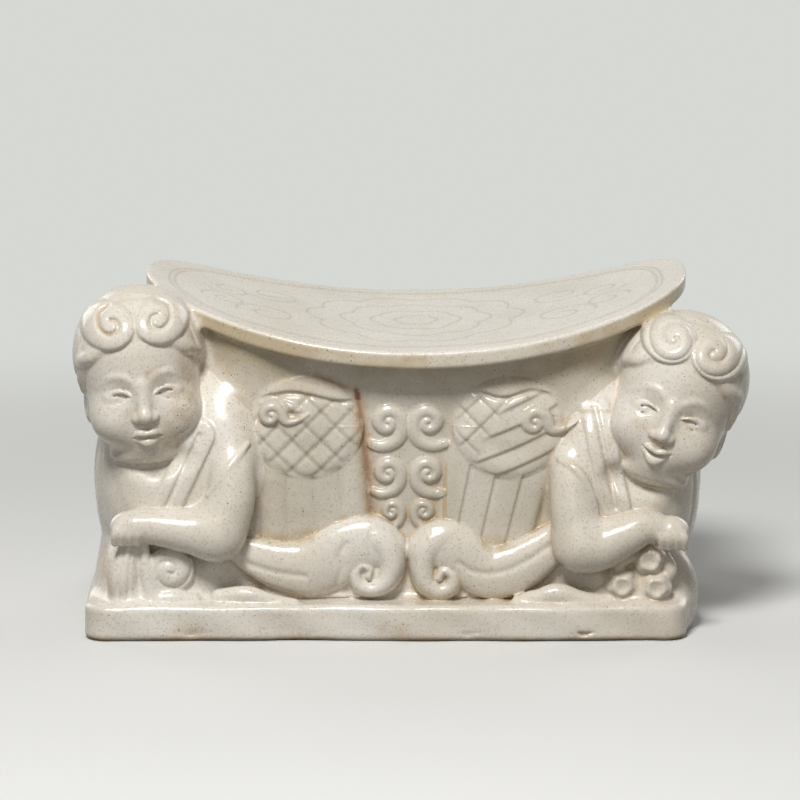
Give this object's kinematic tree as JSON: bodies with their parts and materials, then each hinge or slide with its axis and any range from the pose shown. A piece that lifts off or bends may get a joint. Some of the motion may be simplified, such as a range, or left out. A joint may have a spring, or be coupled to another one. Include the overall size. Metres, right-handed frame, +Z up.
{
  "type": "ceramic pillow",
  "caption": "Hollow ivory-glazed ceramic pillow with a saddle-shaped headrest on a walled body, carried between two crouching winged child figures on a slab base.",
  "frame": {"origin": "middle of the two figures, on the plane of the base slab's underside", "axes": "+X to the right figure as seen from the front, +Y to the back, +Z up"},
  "size_m": [0.2485, 0.1239, 0.1296],
  "materials": {
    "ivory_glaze": "glossy ivory glaze with fine iron specks",
    "biscuit_clay": "unglazed fired clay"
  },
  "bodies": {
    "root": {"base_slab": "ivory_glaze", "front_wall": "ivory_glaze", "back_wall": "ivory_glaze", "left_end_wall": "ivory_glaze", "right_end_wall": "ivory_glaze", "inner_corner_coils": "biscuit_clay", "headrest_collar": "ivory_glaze", "headrest_slab": "ivory_glaze", "left_torso": "ivory_glaze", "right_torso": "ivory_glaze", "left_head": "ivory_glaze", "right_head": "ivory_glaze", "left_hair": "ivory_glaze", "right_hair": "ivory_glaze", "left_forelocks": "ivory_glaze", "right_forelocks": "ivory_glaze", "left_arm": "ivory_glaze", "right_arm": "ivory_glaze", "left_hand": "ivory_glaze", "right_hand": "ivory_glaze", "left_robe_bands": "ivory_glaze", "right_robe_bands": "ivory_glaze", "left_wing_shoulder": "ivory_glaze", "right_wing_shoulder": "ivory_glaze", "left_wing_feathers": "ivory_glaze", "right_wing_feathers": "ivory_glaze", "left_wing_scroll": "ivory_glaze", "right_wing_scroll": "ivory_glaze", "cloud_scrolls": "ivory_glaze", "left_tail": "ivory_glaze", "right_tail": "ivory_glaze", "left_leaf_sprig": "ivory_glaze", "right_leaf_sprig": "ivory_glaze", "left_sash_end": "ivory_glaze", "left_sash_curl": "ivory_glaze", "right_blossoms": "ivory_glaze"}
  },
  "joints": []
}
